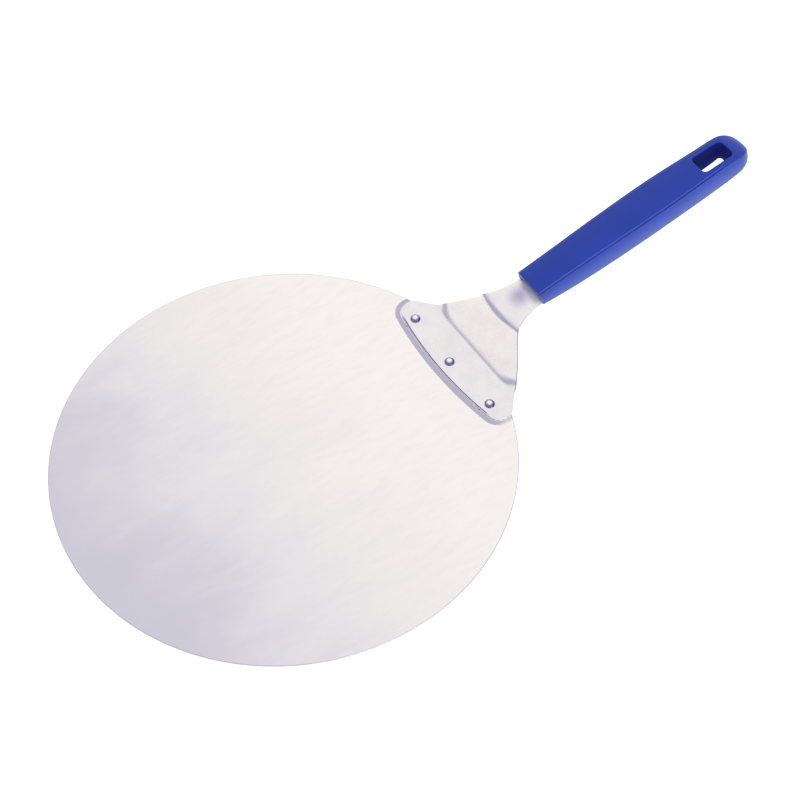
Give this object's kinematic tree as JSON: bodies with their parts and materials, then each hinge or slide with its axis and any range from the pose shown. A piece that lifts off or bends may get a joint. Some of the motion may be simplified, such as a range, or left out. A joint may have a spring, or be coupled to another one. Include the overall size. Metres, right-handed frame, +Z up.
{
  "type": "pizza peel",
  "caption": "Round flat steel pizza peel with a cranked, riveted neck bracket and a long moulded handle with a hanging hole.",
  "frame": {"origin": "centre of the blade's underside, which is the face that rests on a table", "axes": "+X from the blade's centre along the handle, +Z up off the blade's top face, +Y across"},
  "size_m": [0.5216, 0.3, 0.0748],
  "materials": {
    "blade_steel": "brushed stainless, soft streaks along the handle's direction",
    "bracket_steel": "satin stainless, smoother than the blade",
    "rivet_steel": "polished domed heads",
    "handle_plastic": "moulded plastic, satin, fine grain"
  },
  "bodies": {
    "root": {"blade": "blade_steel", "bracket": "bracket_steel", "rivet_left": "rivet_steel", "rivet_middle": "rivet_steel", "rivet_right": "rivet_steel", "handle": "handle_plastic"}
  },
  "joints": []
}
